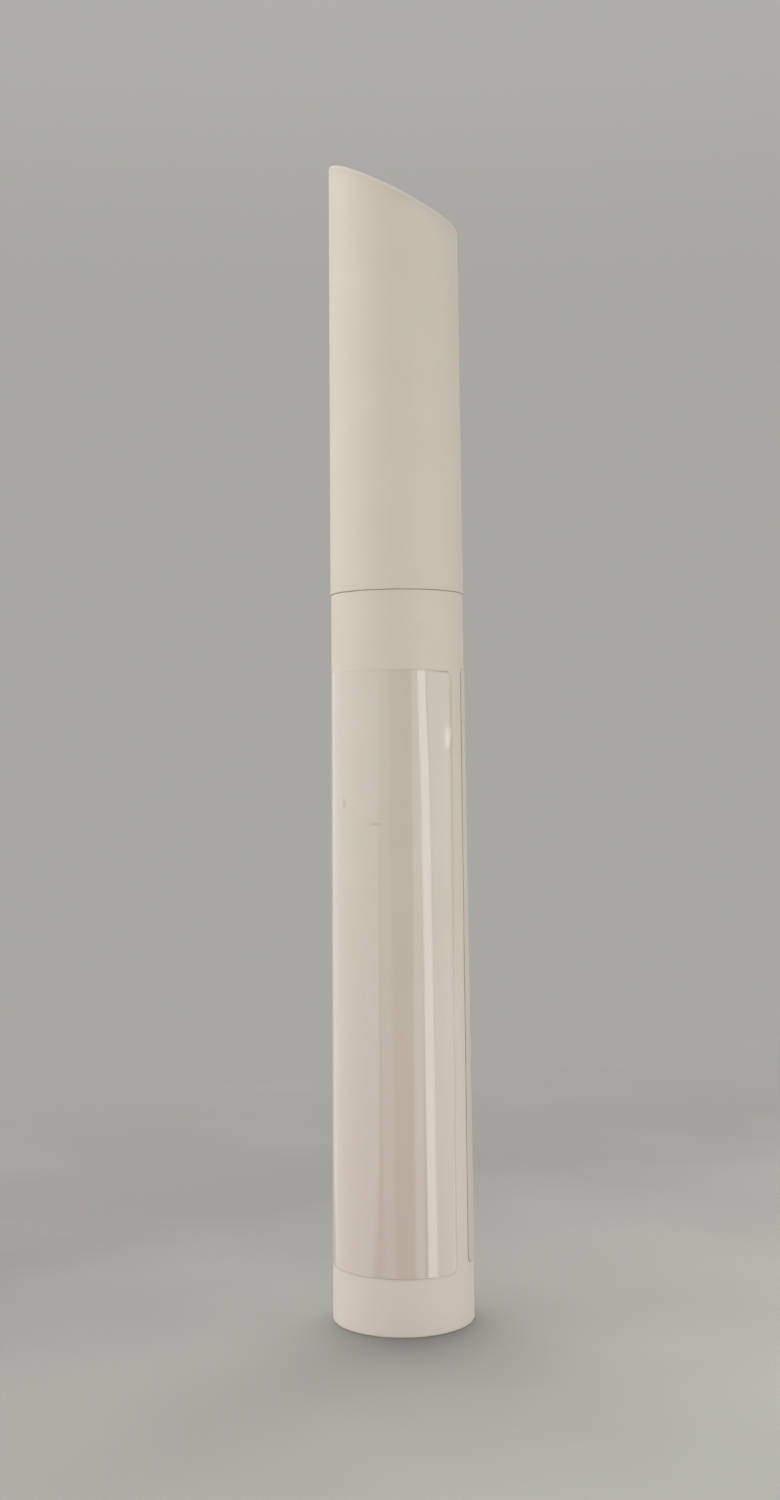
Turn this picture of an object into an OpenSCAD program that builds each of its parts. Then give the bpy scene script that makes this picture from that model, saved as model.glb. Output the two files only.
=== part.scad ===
// Nail oil pen: a felt tip pen with a valve that opens when the tip is pressed.
// It stands capped on its foot. +Z runs up the pen and the origin is the middle of the foot.
// The cap's slanted top is high at -X and low at +X.

/* [Overall] */
// Height of the capped pen, on the tall side of the slanted top
pen_h = 120; // [116:1:130]
// Height of the seam between cap and barrel, as a share of the pen's height
seam_share = 0.6083; // [0.55:0.0001:0.65]
// Outer diameter at the cap's mouth
pen_d = 14; // [13.4:0.1:16]
// Open seam between the cap and the barrel
seam_gap = 0.15; // [0.05:0.05:0.3]

/* [Cap] */
// Diameter lost between the cap's mouth and its top
cap_taper = 0.1; // [0:0.05:0.4]
// Drop of the slanted top across the cap
slant_drop = 7.6; // [4:0.1:9]
// Rounding of the slanted top's rim
slant_round = 0.6; // [0.2:0.05:1]
// Wall of the cap at its mouth
cap_wall = 0.95; // [0.8:0.05:1.1]
// Ledge inside the cap that the inner cap butts against
cap_ledge = 0.35; // [0.2:0.05:0.6]
// Wall under the slanted top
cap_top_wall = 1.2; // [0.8:0.1:1.6]
// Rounding of the edges on both sides of the seam
seam_round = 0.15; // [0.05:0.05:0.3]

/* [Inner cap] */
// Wall of the inner cap above its sealing land
liner_wall = 0.73; // [0.6:0.05:1]
// Depth of the sealing land that grips the front section
seal_land = 0.1; // [0.05:0.05:0.2]
// Length of the sealing land and flange together
seal_land_h = 6; // [4:0.5:7.5]
// Thickness of the flange under the cap's ledge
liner_flange_t = 1.4; // [0.8:0.1:2]
// Room between the felt tip and the inner cap's roof
tip_room = 5.6; // [5:0.1:8]

/* [Barrel] */
// Diameter by which the barrel's mouth is narrower than the cap's
mouth_step = 0.15; // [0:0.05:0.3]
// Diameter by which the barrel's foot is wider than the cap's mouth
base_flare = 0.25; // [0:0.05:0.5]
// Wall of the barrel at its mouth
barrel_wall = 1.5; // [1.2:0.05:1.7]
// Diameter that the bore loses down to the floor
bore_draft = 0.3; // [0.1:0.1:0.8]
// Thickness of the floor over the foot's recess
floor_t = 1.4; // [1:0.1:3]
// Rounding of the foot's outer edge
base_round = 0.8; // [0.3:0.1:1.2]
// Width of the ring that the pen stands on
foot_w = 1.4; // [0.8:0.1:3]
// Depth of the recess inside the foot
recess_h = 0.4; // [0.2:0.1:1]

/* [Label] */
// Height of the bare band between the foot and the label
label_low = 5.5; // [3:0.5:15]
// Height of the bare band between the label and the seam
label_band = 8; // [3:0.5:15]
// Thickness of the film
film_t = 0.1; // [0.05:0.01:0.2]
// Bare strip between the label's two ends
label_gap = 2.3; // [1.8:0.1:6]
// Direction of the bare strip's middle, from +X towards +Y
label_gap_turn = -17; // [-180:1:180]
// Rounding of the label's corners
label_corner = 0.8; // [0.3:0.1:1.5]

/* [Front section] */
// Height of the neck that the cap slides over
neck_h = 7; // [6:0.5:9]
// Depth of the plug inside the barrel
plug_h = 6; // [5:0.5:7]
// Length of the cylinder that the inner cap seals on
seal_h = 8; // [7:0.5:9]
// Wall round the tip at the nose
nose_wall = 0.7; // [0.5:0.05:1]
// Rounding of the nose's rim
nose_round = 0.35; // [0.1:0.05:0.45]
// Thickness of the ledge over the valve seat
ledge_t = 1.2; // [0.8:0.1:2]
// Height of the snap bead's middle above the seam
bead_up = 3.5; // [2.5:0.1:4.5]
// Radius of the snap bead's section
bead_round = 0.6; // [0.4:0.05:0.9]
// Number of ribs that hold the felt tip
ribs = 6; // [3:1:8]
// Width of one rib
rib_w = 0.6; // [0.4:0.05:0.9]
// Depth of the air ways between the ribs
rib_h = 0.35; // [0.2:0.05:0.5]
// Number of sealing rings round the plug
plug_rings = 3; // [1:1:4]

/* [Felt tip] */
// Diameter of the felt tip, as a share of the cylinder round it
nib_share = 0.521; // [0.48:0.001:0.55]
// Length of felt outside the nose
nib_out = 6.5; // [5.5:0.1:8]
// Diameter at the far end, before the bevel, as a share of the tip's
nib_end_share = 0.72; // [0.6:0.01:0.85]
// Angle of the bevel from level
nib_bevel = 50; // [30:1:60]
// Rounding of the felt's far edge
nib_round = 0.4; // [0.2:0.05:0.6]

/* [Valve] */
// How far the tip can be pressed in
press = 1.5; // [1:0.1:2]
// Diameter of the fluted stem, as a share of the valve disc's
stem_share = 0.536; // [0.48:0.001:0.6]
// Width of the stem's cross arms
stem_arm = 0.9; // [0.6:0.1:1.2]
// Thickness of the valve disc
disc_t = 1.2; // [0.8:0.1:1.6]
// Diameter of the tail that guides the spring, as a share of the valve disc's
tail_share = 0.446; // [0.36:0.001:0.5]
// Thickness of the valve seat
seat_t = 1.3; // [1:0.1:2]
// Height of the seat's sealing lip
lip_h = 0.25; // [0.15:0.05:0.4]
// Width of the seat's sealing lip
lip_w = 0.4; // [0.2:0.05:0.5]
// Diameter of the valve housing, as a share of the barrel's bore
housing_share = 0.765; // [0.75:0.001:0.78]
// Length of the valve housing
housing_l = 18; // [17:0.5:22]
// Wall of the valve housing
housing_wall = 0.8; // [0.6:0.05:0.9]
// Oil way round the valve disc
flow_gap = 0.55; // [0.5:0.05:0.7]
// Width of a window in the housing
window_w = 1.8; // [1:0.1:2.4]
// Height of a window in the housing
window_h = 4; // [2:0.1:4.2]
// Thickness of the spring cap's flange
spring_cap_t = 1; // [0.8:0.1:1.6]
// Depth of the spring cap inside the housing
spring_cap_in = 2; // [1.6:0.1:2.6]

/* [Spring] */
// Mean diameter of the spring, as a share of the housing's bore
spring_share = 0.627; // [0.58:0.001:0.68]
// Diameter of the spring wire
wire_d = 0.45; // [0.3:0.05:0.6]
// Number of curls
curls = 9; // [6:1:10]

/* [Fits] */
// Clearance of the cap round the neck, on the radius
cap_fit = 0.15; // [0.1:0.01:0.2]
// Clearance of the snap bead in the cap's bore, on the radius
bead_fit = 0.02; // [0.01:0.01:0.05]
// Clearance of pieces that are pushed home, on the radius
push_fit = 0.02; // [0.01:0.005:0.04]
// Clearance of the inner cap on the front section, on the radius
seal_fit = 0.05; // [0.02:0.01:0.08]
// Clearance of the felt between the ribs, on the radius
nib_fit = 0.06; // [0.03:0.01:0.1]
// Clearance of the stem in its guides, on the radius
stem_fit = 0.1; // [0.05:0.01:0.1]
// Clearance where a piece comes to rest on another
rest_gap = 0.02; // [0.01:0.01:0.05]
// Room left between the felt and the ledge at full press
stop_gap = 0.15; // [0.1:0.01:0.3]

/* [Hidden] */
$fn = 96;

// Overrun of every cut
over = 1;
// Facets of the rounded rim, round the pen and across the rounding
rim_fn = 64;
rim_steps = 5;
// Lead-in chamfers of the plug, the neck and the small valve pieces
plug_lead = 0.5;
neck_lead = 0.3;
small_lead = 0.2;
// Section radius of the sealing rings and of the small snap beads
ring_round = 0.4;
snap_round = 0.35;
// How far the small snap beads stand out
snap_out = 0.1;
// Spare depth of a groove behind its bead
groove_play = 0.04;
// Height of the boss that centres the spring, and its clearance in the spring
boss_h = 1.2;
boss_fit = 0.15;
// Height of the felt tip's taper, as a share of the felt outside the nose
nib_taper_share = 0.8;
// Gap between the neck's top and the inner cap
neck_gap = 0.3;
// Gap between the inner cap's roof and the cap
roof_gap = 0.25;
// Glue line under the label
glue_t = 0.01;
// Bare end of the ribs below the nose
rib_inset = 0.6;
// Height of a window's sill above the spring cap
window_sill = 0.7;

// Cap and slanted top
barrel_h = pen_h * seam_share;
mouth_z = barrel_h + seam_gap;
cap_mouth_r = pen_d / 2;
cap_top_r = (pen_d - cap_taper) / 2;
slant = atan(slant_drop / (2 * cap_top_r));
// The rounding takes this much off the sharp tip
tip_loss = slant_round * (tan(slant) + 1 / cos(slant) - sqrt(tan(slant) ^ 2 + 1 / cos(slant) ^ 2));
slant_mid_z = pen_h + tip_loss - slant_drop / 2;
cap_low_z = slant_mid_z - slant_drop / 2;
top_wall_z = cap_top_wall / cos(slant);
rim_z = cap_low_z - 2 * slant_round;
cap_bore_r = cap_mouth_r - cap_wall;

// Neck and inner cap
neck_r = cap_bore_r - cap_fit;
neck_z = barrel_h + neck_h;
bead_z = barrel_h + bead_up;
liner_bore_r = cap_bore_r - cap_ledge;
liner_r = liner_bore_r - push_fit;
liner_z = neck_z + neck_gap;
liner_ledge_z = liner_z + liner_flange_t;
liner_roof_z = cap_low_z - top_wall_z - roof_gap;
liner_in_r = liner_r - liner_wall;
land_r = liner_in_r - seal_land;
nib_tip_z = liner_roof_z - liner_wall - tip_room;

// Barrel
barrel_mouth_r = (pen_d - mouth_step) / 2;
barrel_base_r = (pen_d + base_flare) / 2;
bore_r = barrel_mouth_r - barrel_wall;
floor_z = recess_h + floor_t;
plug_z = barrel_h - plug_h;
recess_r = barrel_base_r - base_round - foot_w;

// Valve, from the housing in and from the ledge down
housing_r = bore_r * housing_share;
housing_bore_r = housing_r - housing_wall;
disc_r = housing_bore_r - flow_gap;
stem_r = disc_r * stem_share;
tail_r = disc_r * tail_share;
spring_r = housing_bore_r * spring_share;
port_r = stem_r + stem_fit;
ledge_z = neck_z - ledge_t;
seat_z = ledge_z - seat_t;
lip_r = (port_r + disc_r) / 2;
disc_top_z = seat_z - lip_h - rest_gap;
disc_z = disc_top_z - disc_t;
housing_z = seat_z - housing_l;
spring_seat_z = housing_z + spring_cap_in;
tail_z = housing_z - spring_cap_t + press;
snap_z = plug_z + plug_h / 2;
cap_snap_z = housing_z + spring_cap_in / 2;
boss_r = spring_r - wire_d / 2 - boss_fit;

// Front section and felt tip
seal_r = land_r - seal_fit;
cone_z = neck_z + seal_h;
nose_z = nib_tip_z - nib_out;
nib_r = seal_r * nib_share;
nib_end_r = nib_r * nib_end_share;
nib_hold_r = nib_r + nib_fit;
vent_r = nib_hold_r + rib_h;
nose_r = vent_r + nose_wall;
nose_edge_r = nose_r + (seal_r - nose_r) * nose_round / (nose_z - cone_z);
nib_z = neck_z + stop_gap + press;
nib_taper_z = nib_tip_z - nib_taper_share * nib_out;

// Label
label_top = barrel_h - label_band;
label_h = label_top - label_low;

// Radius of the cap's outside at height z
function cap_r(z) = cap_mouth_r + (cap_top_r - cap_mouth_r) * (z - mouth_z) / (pen_h - mouth_z);
// Radius of the barrel's outside at height z
function barrel_r(z) = barrel_base_r + (barrel_mouth_r - barrel_base_r) * z / barrel_h;

// Helix of the spring: point at share u of its length
spring_turn = 360 * curls;
spring_low_z = spring_seat_z + wire_d / 2;
spring_high_z = disc_z - wire_d / 2;
rings_per_curl = 8;
wire_sides = 6;
spring_rings = curls * rings_per_curl;
function spring_point(u) = [spring_r * cos(spring_turn * u), spring_r * sin(spring_turn * u),
                            spring_low_z + (spring_high_z - spring_low_z) * u];
// Corner of the wire's section at share u and angle a: out along the radius and up
function wire_corner(u, a) = spring_point(u)
    + wire_d / 2 * (cos(a) * [cos(spring_turn * u), sin(spring_turn * u), 0] + sin(a) * [0, 0, 1]);
spring_gap = min([for (i = [0 : spring_rings - rings_per_curl]) for (j = [i + rings_per_curl / 2 : spring_rings])
    norm(spring_point(i / spring_rings) - spring_point(j / spring_rings))]) - wire_d;
echo(str("spring: least gap between curls ", spring_gap, " mm"));
echo(str("pen: top ", pen_h, " mm, felt tip at ", nib_tip_z, " mm, reservoir ",
    PI * (bore_r - bore_draft / 4) ^ 2 * (housing_z - floor_z) / 1000, " ml below the valve"));

// Everything below the slanted plane, lowered by drop
module below_slant(drop) {
    reach = 2 * pen_h;
    translate([0, 0, slant_mid_z - drop])
        rotate([0, slant, 0])
            translate([-reach, -reach, -2 * reach])
                cube([2 * reach, 2 * reach, 2 * reach]);
}

// What an outer edge loses to its rounding: the edge is at radius r and height z, and up is 1 at a
// top edge and -1 at a bottom edge
module edge_waste(r, z, e, up) {
    difference() {
        translate([r - e, up > 0 ? z - e : z - over]) square([e + over, e + over]);
        translate([r - e, z - up * e]) circle(e);
    }
}

// Ring of round section that stands out by out from a cylinder of radius r
module bead(r, z, section, out) {
    translate([r + out - section, z]) circle(section);
}

module barrel() {
    foot_r = barrel_r(base_round);
    lip_r = barrel_r(barrel_h - seam_round);
    color("#efe8dc") rotate_extrude() difference() {
        polygon([[recess_r, 0], [foot_r, 0], [foot_r, base_round], [lip_r, barrel_h - seam_round],
                 [lip_r, barrel_h], [bore_r, barrel_h], [bore_r, plug_z], [bore_r - bore_draft / 2, floor_z],
                 [0, floor_z], [0, recess_h], [recess_r - recess_h, recess_h]]);
        edge_waste(foot_r, 0, base_round, -1);
        edge_waste(lip_r, barrel_h, seam_round, 1);
    }
}

// One rounded corner of the label, cut away at height z: up is 1 at the top and -1 at the bottom,
// and side is 1 or -1 for the two ends
module label_corner_waste(z, up, side) {
    reach = barrel_base_r + over;
    inside = label_gap / 2 + label_corner;
    difference() {
        translate([0, side > 0 ? 0 : -inside, up > 0 ? z - label_corner : z - over])
            cube([reach, inside, label_corner + over]);
        translate([-over, side * inside, z - up * label_corner])
            rotate([0, 90, 0]) cylinder(h = reach + 2 * over, r = label_corner);
    }
}

module label() {
    low_r = barrel_r(label_low) + glue_t;
    high_r = barrel_r(label_top) + glue_t;
    reach = barrel_base_r + over;
    color("#f4eee6") rotate([0, 0, label_gap_turn]) difference() {
        rotate_extrude() polygon([[low_r, label_low], [low_r + film_t, label_low],
                                  [high_r + film_t, label_top], [high_r, label_top]]);
        translate([0, -label_gap / 2, label_low - over]) cube([reach, label_gap, label_h + 2 * over]);
        for (side = [-1, 1]) {
            label_corner_waste(label_top, 1, side);
            label_corner_waste(label_low, -1, side);
        }
    }
}

module front_section() {
    plug_r = bore_r - push_fit;
    ring_pitch = plug_h / (plug_rings + 1);
    housing_seat_r = housing_r + push_fit;
    color("#f3f0ea") {
        rotate_extrude() difference() {
            union() {
                polygon([[0, plug_z], [plug_r - ring_round / 2 - plug_lead, plug_z],
                         [plug_r - ring_round / 2, plug_z + plug_lead], [plug_r - ring_round / 2, barrel_h],
                         [neck_r, barrel_h], [neck_r, neck_z - neck_lead], [neck_r - neck_lead, neck_z],
                         [seal_r, neck_z], [seal_r, cone_z], [nose_r, nose_z], [0, nose_z]]);
                for (i = [1 : plug_rings])
                    bead(plug_r - ring_round / 2, plug_z + i * ring_pitch, ring_round, ring_round / 2);
                bead(neck_r, bead_z, bead_round, cap_fit - bead_fit);
            }
            polygon([[0, plug_z - over], [housing_seat_r, plug_z - over], [housing_seat_r, ledge_z],
                     [port_r + stem_fit, ledge_z], [port_r + stem_fit, neck_z], [vent_r, neck_z],
                     [vent_r, nose_z + over], [0, nose_z + over]]);
            bead(housing_seat_r, snap_z, snap_round + groove_play, snap_out + groove_play);
            edge_waste(nose_edge_r, nose_z, nose_round, 1);
        }
        difference() {
            for (i = [0 : ribs - 1]) rotate([0, 0, 360 * i / ribs])
                translate([nib_r, -rib_w / 2, nib_z])
                    cube([vent_r - nib_r + nose_wall / 2, rib_w, nose_z - rib_inset - nib_z]);
            translate([0, 0, nib_z - over]) cylinder(h = nose_z - nib_z + 2 * over, r = nib_hold_r);
        }
    }
}

module nib() {
    edge_r = nib_end_r + (nib_r - nib_end_r) * nib_round / (nib_tip_z - nib_taper_z);
    reach = 2 * nib_r + nib_out;
    color("#f7f4ee") difference() {
        rotate_extrude() difference() {
            polygon([[0, nib_z], [nib_r, nib_z], [nib_r, nib_taper_z], [nib_end_r, nib_tip_z], [0, nib_tip_z]]);
            edge_waste(edge_r, nib_tip_z, nib_round, 1);
        }
        translate([nib_round - edge_r, 0, nib_tip_z]) rotate([0, nib_bevel, 0])
            translate([-reach, -reach, 0]) cube([2 * reach, 2 * reach, reach]);
    }
}

module valve_seat() {
    color("#4b4b4d") rotate_extrude() {
        translate([port_r, seat_z]) square([housing_r - port_r, seat_t]);
        translate([lip_r - lip_w / 2, seat_z - lip_h]) square([lip_w, lip_h + seat_t / 2]);
    }
}

module valve_stem() {
    color("#dfe3e4") {
        rotate_extrude() polygon([[0, tail_z], [tail_r - small_lead, tail_z],
            [tail_r, tail_z + small_lead], [tail_r, disc_z - boss_h], [boss_r, disc_z - boss_h],
            [boss_r, disc_z], [disc_r, disc_z], [disc_r, disc_top_z], [0, disc_top_z]]);
        intersection() {
            translate([0, 0, disc_z]) cylinder(h = nib_z - disc_z, r = stem_r);
            for (turn = [0, 90]) rotate([0, 0, turn])
                translate([-2 * stem_r, -stem_arm / 2, disc_z]) cube([4 * stem_r, stem_arm, nib_z - disc_z]);
        }
    }
}

module valve_spring() {
    corners = [for (i = [0 : spring_rings]) for (k = [0 : wire_sides - 1])
        wire_corner(i / spring_rings, 360 * k / wire_sides)];
    sides = [for (i = [0 : spring_rings - 1]) for (k = [0 : wire_sides - 1])
        let (a = i * wire_sides + k, b = i * wire_sides + (k + 1) % wire_sides)
        each [[a, b, b + wire_sides], [a, b + wire_sides, a + wire_sides]]];
    low_end = [[for (k = [0 : wire_sides - 1]) wire_sides - 1 - k]];
    high_end = [[for (k = [0 : wire_sides - 1]) spring_rings * wire_sides + k]];
    color("#b9bcc0") polyhedron(points = corners, faces = concat(sides, low_end, high_end));
}

module valve_housing() {
    window_z = spring_seat_z + window_sill;
    color("#e6e8e8") difference() {
        rotate_extrude() difference() {
            union() {
                polygon([[housing_bore_r, housing_z], [housing_r, housing_z],
                         [housing_r, seat_z - small_lead], [housing_r - small_lead, seat_z],
                         [housing_bore_r, seat_z]]);
                bead(housing_r, snap_z, snap_round, snap_out);
            }
            bead(housing_bore_r, cap_snap_z, snap_round + groove_play, snap_out + groove_play);
        }
        for (turn = [0, 90]) rotate([0, 0, turn])
            translate([-housing_r - over, -window_w / 2, window_z])
                cube([2 * (housing_r + over), window_w, window_h]);
    }
}

module spring_cap() {
    plug_r = housing_bore_r - push_fit;
    guide_r = tail_r + stem_fit;
    flange_z = housing_z - spring_cap_t;
    color("#dfe3e4") rotate_extrude() difference() {
        union() {
            polygon([[0, flange_z], [housing_r - small_lead, flange_z], [housing_r, flange_z + small_lead],
                     [housing_r, housing_z], [plug_r, housing_z], [plug_r, spring_seat_z - small_lead],
                     [plug_r - small_lead, spring_seat_z], [0, spring_seat_z]]);
            bead(plug_r, cap_snap_z, snap_round, snap_out);
        }
        translate([0, flange_z - over]) square([guide_r, spring_cap_t + spring_cap_in + 2 * over]);
    }
}

module inner_cap() {
    color("#eceae4") rotate_extrude() polygon([[land_r + small_lead, liner_z], [cap_bore_r - push_fit, liner_z],
        [cap_bore_r - push_fit, liner_ledge_z], [liner_r, liner_ledge_z], [liner_r, liner_roof_z - neck_lead],
        [liner_r - neck_lead, liner_roof_z], [0, liner_roof_z], [0, liner_roof_z - liner_wall],
        [liner_in_r, liner_roof_z - liner_wall], [liner_in_r, liner_z + seal_land_h + seal_land],
        [land_r, liner_z + seal_land_h], [land_r, liner_z + small_lead]]);
}

// Outside of the cap. The rim's rounding is a blend of cut cones, each narrower and cut higher
module cap_outside() {
    rotate_extrude() difference() {
        polygon([[0, mouth_z], [cap_mouth_r, mouth_z], [cap_r(rim_z), rim_z], [0, rim_z]]);
        edge_waste(cap_r(mouth_z), mouth_z, seam_round, -1);
    }
    hull() for (i = [0 : rim_steps]) {
        in = slant_round * (1 - cos(90 * i / rim_steps));
        drop = slant_round * (1 - sin(90 * i / rim_steps)) / cos(slant);
        intersection() {
            translate([0, 0, rim_z]) cylinder(h = pen_h + slant_drop - rim_z, r1 = cap_r(rim_z) - in,
                r2 = cap_top_r - in, $fn = rim_fn);
            below_slant(drop);
        }
    }
}

module cap_shell() {
    color("#efe8dc") difference() {
        cap_outside();
        rotate_extrude() {
            translate([0, mouth_z - over]) square([cap_bore_r, liner_ledge_z - mouth_z + over]);
            bead(cap_bore_r, bead_z, bead_round + groove_play, cap_fit - bead_fit + groove_play);
        }
        intersection() {
            translate([0, 0, mouth_z]) cylinder(h = pen_h, r = liner_bore_r);
            below_slant(top_wall_z);
        }
    }
}

barrel();
label();
front_section();
nib();
valve_seat();
valve_stem();
valve_spring();
valve_housing();
spring_cap();
inner_cap();
cap_shell();
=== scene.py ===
import math

import bmesh
import bpy
import numpy as np
from mathutils import Matrix, Vector


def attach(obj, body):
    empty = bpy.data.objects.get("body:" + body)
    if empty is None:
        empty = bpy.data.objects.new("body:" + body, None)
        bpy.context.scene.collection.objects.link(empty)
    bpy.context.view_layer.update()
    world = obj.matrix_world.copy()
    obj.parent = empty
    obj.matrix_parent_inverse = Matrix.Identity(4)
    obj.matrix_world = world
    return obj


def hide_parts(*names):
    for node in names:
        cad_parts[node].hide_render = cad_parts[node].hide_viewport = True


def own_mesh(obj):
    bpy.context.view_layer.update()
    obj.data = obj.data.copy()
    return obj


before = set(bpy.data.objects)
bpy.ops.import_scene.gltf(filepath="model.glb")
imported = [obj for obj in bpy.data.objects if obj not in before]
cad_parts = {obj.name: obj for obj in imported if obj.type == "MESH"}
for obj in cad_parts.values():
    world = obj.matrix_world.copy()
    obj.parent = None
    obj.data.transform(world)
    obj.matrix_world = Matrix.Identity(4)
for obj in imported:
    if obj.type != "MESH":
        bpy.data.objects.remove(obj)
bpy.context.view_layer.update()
mm = 0.001  # every size below is in millimetres, and every mesh is in metres
tiny = 1e-6  # two points nearer than this are one
print("frame loaded:", len(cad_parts), "nodes")


def unit(v, least=1e-12):
    # every row divided by its length
    return v / np.maximum(np.linalg.norm(v, axis=-1, keepdims=True), least)


def softCorners(corners, steps=6):
    # Corners are rows of radius, height and rounding. The arc at a corner has its centre on the
    # bisector, rounding / sin(half angle) away, and runs between the points where it touches the sides.
    data = np.array(corners, float)
    here, rounding = data[1:-1, :2], data[1:-1, 2:]
    back, ahead = unit(data[:-2, :2] - here), unit(data[2:, :2] - here)
    half = 0.5 * np.arccos(np.clip((back * ahead).sum(1, keepdims=True), -1, 1))
    centre = here + unit(back + ahead) * rounding / np.sin(half)
    first = here + back * rounding / np.tan(half) - centre
    last = here + ahead * rounding / np.tan(half) - centre
    sweep = np.maximum(math.pi - 2 * half, tiny)[:, None]
    t = np.linspace(0, 1, steps + 1)[None, :, None]
    arc = (np.sin((1 - t) * sweep) * first[:, None] + np.sin(t * sweep) * last[:, None]) / np.sin(sweep)
    points = (centre[:, None] + arc).reshape(-1, 2)
    return distinct(np.concatenate([data[:1, :2], points, data[-1:, :2]]))


def distinct(points):
    # leaves out a point that lies on the one before it
    step = np.linalg.norm(np.diff(points, axis=0), axis=1)
    return points[np.concatenate([[True], step > tiny])]


def withHolds(points, reach=0.12, longest=4.0):
    # Extra points near both ends of each straight keep a rounding's shading off the flat beside it,
    # and a long straight is cut into even parts.
    start, end = points[:-1], points[1:]
    length = np.linalg.norm(end - start, axis=1)
    near = np.where(length > 3 * reach, reach / length, 0)[:, None]
    parts = np.linspace(0, 1, 1 + max(2, int(length.max() / longest)))[None, 1:-1]
    inside = np.where(length[:, None] > 2 * longest, parts, near)
    t = np.sort(np.concatenate([0 * near, near, inside, 1 - near], axis=1), axis=1)
    t[length <= 3 * reach] = 0
    rows = start[:, None] + t[..., None] * (end - start)[:, None]
    return distinct(np.concatenate([rows.reshape(-1, points.shape[1]), points[-1:]]))


def bead(baseR, midZ, section, out, upward=True, steps=8):
    # Ring of round section, standing out by out from radius baseR: an arc of radius section whose
    # centre is at baseR + out - section.
    reach = math.acos((section - out) / section)
    turn = np.linspace(-reach, reach, steps + 1) * (1 if upward else -1)
    rows = np.stack([baseR + out - section + section * np.cos(turn), midZ + section * np.sin(turn)], 1)
    return [[r, z, 0] for r, z in rows]


def turned(profile, segments=192, tilt=None, slope=0.0, closed=False):
    # Surface of turning: x = r cos a, y = r sin a, z = height - tilt * slope * x. A row on the axis
    # is one point, and a closed profile joins its last ring to its first.
    r, z = profile[:, 0], profile[:, 1]
    tilt = np.zeros(len(r)) if tilt is None else tilt
    onAxis = r < tiny
    ring = ~onAxis
    a = np.arange(segments) * 2 * math.pi / segments
    x, y = r[ring, None] * np.cos(a), r[ring, None] * np.sin(a)
    points = np.stack([x, y, z[ring, None] - tilt[ring, None] * slope * x], 2).reshape(-1, 3)
    rings = int(ring.sum())
    row = np.arange(rings if closed else rings - 1)[:, None] * segments
    above = (row + segments) % (rings * segments)
    col, nextCol = np.arange(segments), (np.arange(segments) + 1) % segments
    quads = np.stack([row + col, row + nextCol, above + nextCol, above + col], 2).reshape(-1, 4)
    poles, fans = [], []
    if onAxis[0]:
        fans.append(np.stack([np.full(segments, len(points)), nextCol, col], 1))
        poles.append([0, 0, z[0]])
    if onAxis[-1]:
        edge = (rings - 1) * segments
        fans.append(np.stack([np.full(segments, len(points) + len(poles)), edge + col, edge + nextCol], 1))
        poles.append([0, 0, z[-1]])
    if poles:
        points = np.concatenate([points, poles])
    return points, quads, np.concatenate(fans) if fans else np.zeros((0, 3), int)


def sheetSolid(outer, inner):
    # Two grids of points, rows by columns, joined round their border into one closed skin.
    rows, cols = outer.shape[:2]
    index = np.arange(rows * cols).reshape(rows, cols)
    face = np.stack([index[:-1, :-1], index[:-1, 1:], index[1:, 1:], index[1:, :-1]], 2).reshape(-1, 4)
    border = np.concatenate([index[0, :-1], index[:-1, -1], index[-1, :0:-1], index[:0:-1, 0]])
    after = np.roll(border, -1)
    side = np.stack([after, border, border + rows * cols, after + rows * cols], 1)
    points = np.concatenate([outer.reshape(-1, 3), inner.reshape(-1, 3)])
    return points, np.concatenate([face, face[:, ::-1] + rows * cols, side]), np.zeros((0, 3), int)


def tube(centre, outward, upward, radius, sides=14, capSteps=4):
    # Wire: a circle of the wire's radius, carried along the centre line on its own two directions,
    # with each end drawn in on a quarter circle.
    along = unit(np.gradient(centre, axis=0))
    cap = np.linspace(math.pi / 2, 0, capSteps + 1)[:-1]
    startRows = centre[:1] - along[:1] * radius * np.sin(cap)[:, None]
    endRows = centre[-1:] + along[-1:] * radius * np.sin(cap[::-1])[:, None]
    path = np.concatenate([startRows, centre, endRows])
    scale = np.concatenate([np.cos(cap), np.ones(len(centre)), np.cos(cap[::-1])])
    scale[0] = scale[-1] = 0
    out = np.concatenate([np.repeat(outward[:1], capSteps, 0), outward, np.repeat(outward[-1:], capSteps, 0)])
    up = np.concatenate([np.repeat(upward[:1], capSteps, 0), upward, np.repeat(upward[-1:], capSteps, 0)])
    a = np.arange(sides) * 2 * math.pi / sides
    around = np.cos(a)[None, :, None] * out[1:-1, None] + np.sin(a)[None, :, None] * up[1:-1, None]
    points = path[1:-1, None] + radius * scale[1:-1, None, None] * around
    rings = len(points)
    col, nextCol = np.arange(sides), (np.arange(sides) + 1) % sides
    row = np.arange(rings - 1)[:, None] * sides
    quads = np.stack([row + col, row + nextCol, row + sides + nextCol, row + sides + col], 2).reshape(-1, 4)
    total, edge = rings * sides, (rings - 1) * sides
    fans = np.concatenate([np.stack([np.full(sides, total), nextCol, col], 1),
                           np.stack([np.full(sides, total + 1), edge + col, edge + nextCol], 1)])
    return np.concatenate([points.reshape(-1, 3), path[:1], path[-1:]]), quads, fans


def volume(points, quads, triangles):
    # a sixth of the sum of the triple products of all triangles: positive when faces point outwards
    every = np.concatenate([quads[:, [0, 1, 2]], quads[:, [0, 2, 3]], triangles])
    a, b, c = (points[every[:, k]] for k in range(3))
    return float((a * np.cross(b, c)).sum() / 6)


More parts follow.
